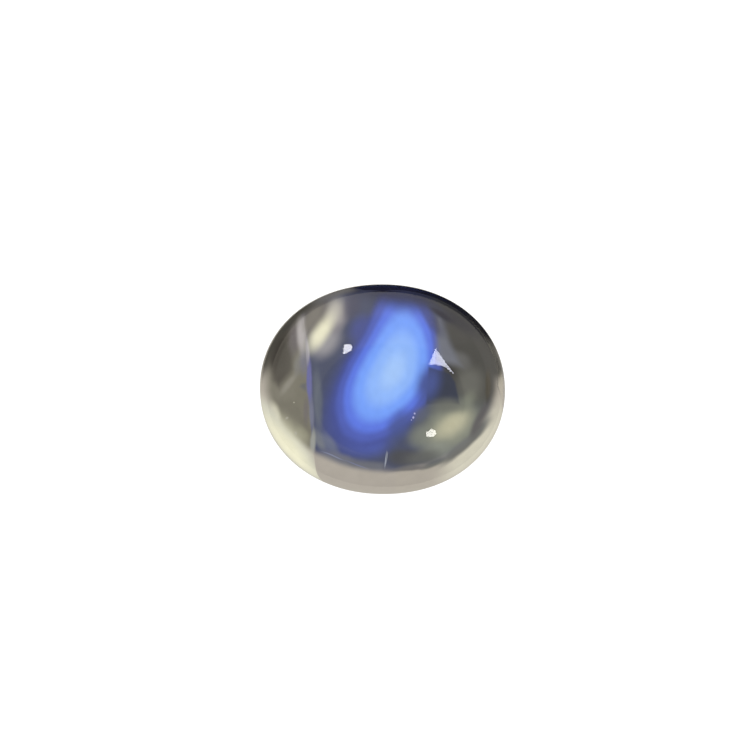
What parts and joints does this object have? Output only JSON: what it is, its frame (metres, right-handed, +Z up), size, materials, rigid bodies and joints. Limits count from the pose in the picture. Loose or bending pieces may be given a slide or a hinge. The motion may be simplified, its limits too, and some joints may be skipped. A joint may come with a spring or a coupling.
{
  "type": "polished oval moonstone cabochon",
  "caption": "Oval moonstone cut as a smooth high dome over a sloping belly, resting on a small flat spot.",
  "frame": {"origin": "on the flat base, under the middle of the stone's oval", "axes": "+Z up through the dome, +X along the oval's long axis"},
  "size_m": [0.0106, 0.009, 0.0044],
  "materials": {
    "moonstone": "clear smoky feldspar with a blue sheen, hand polished to a glassy surface"
  },
  "bodies": {
    "root": {"moonstone": "moonstone"}
  },
  "joints": []
}
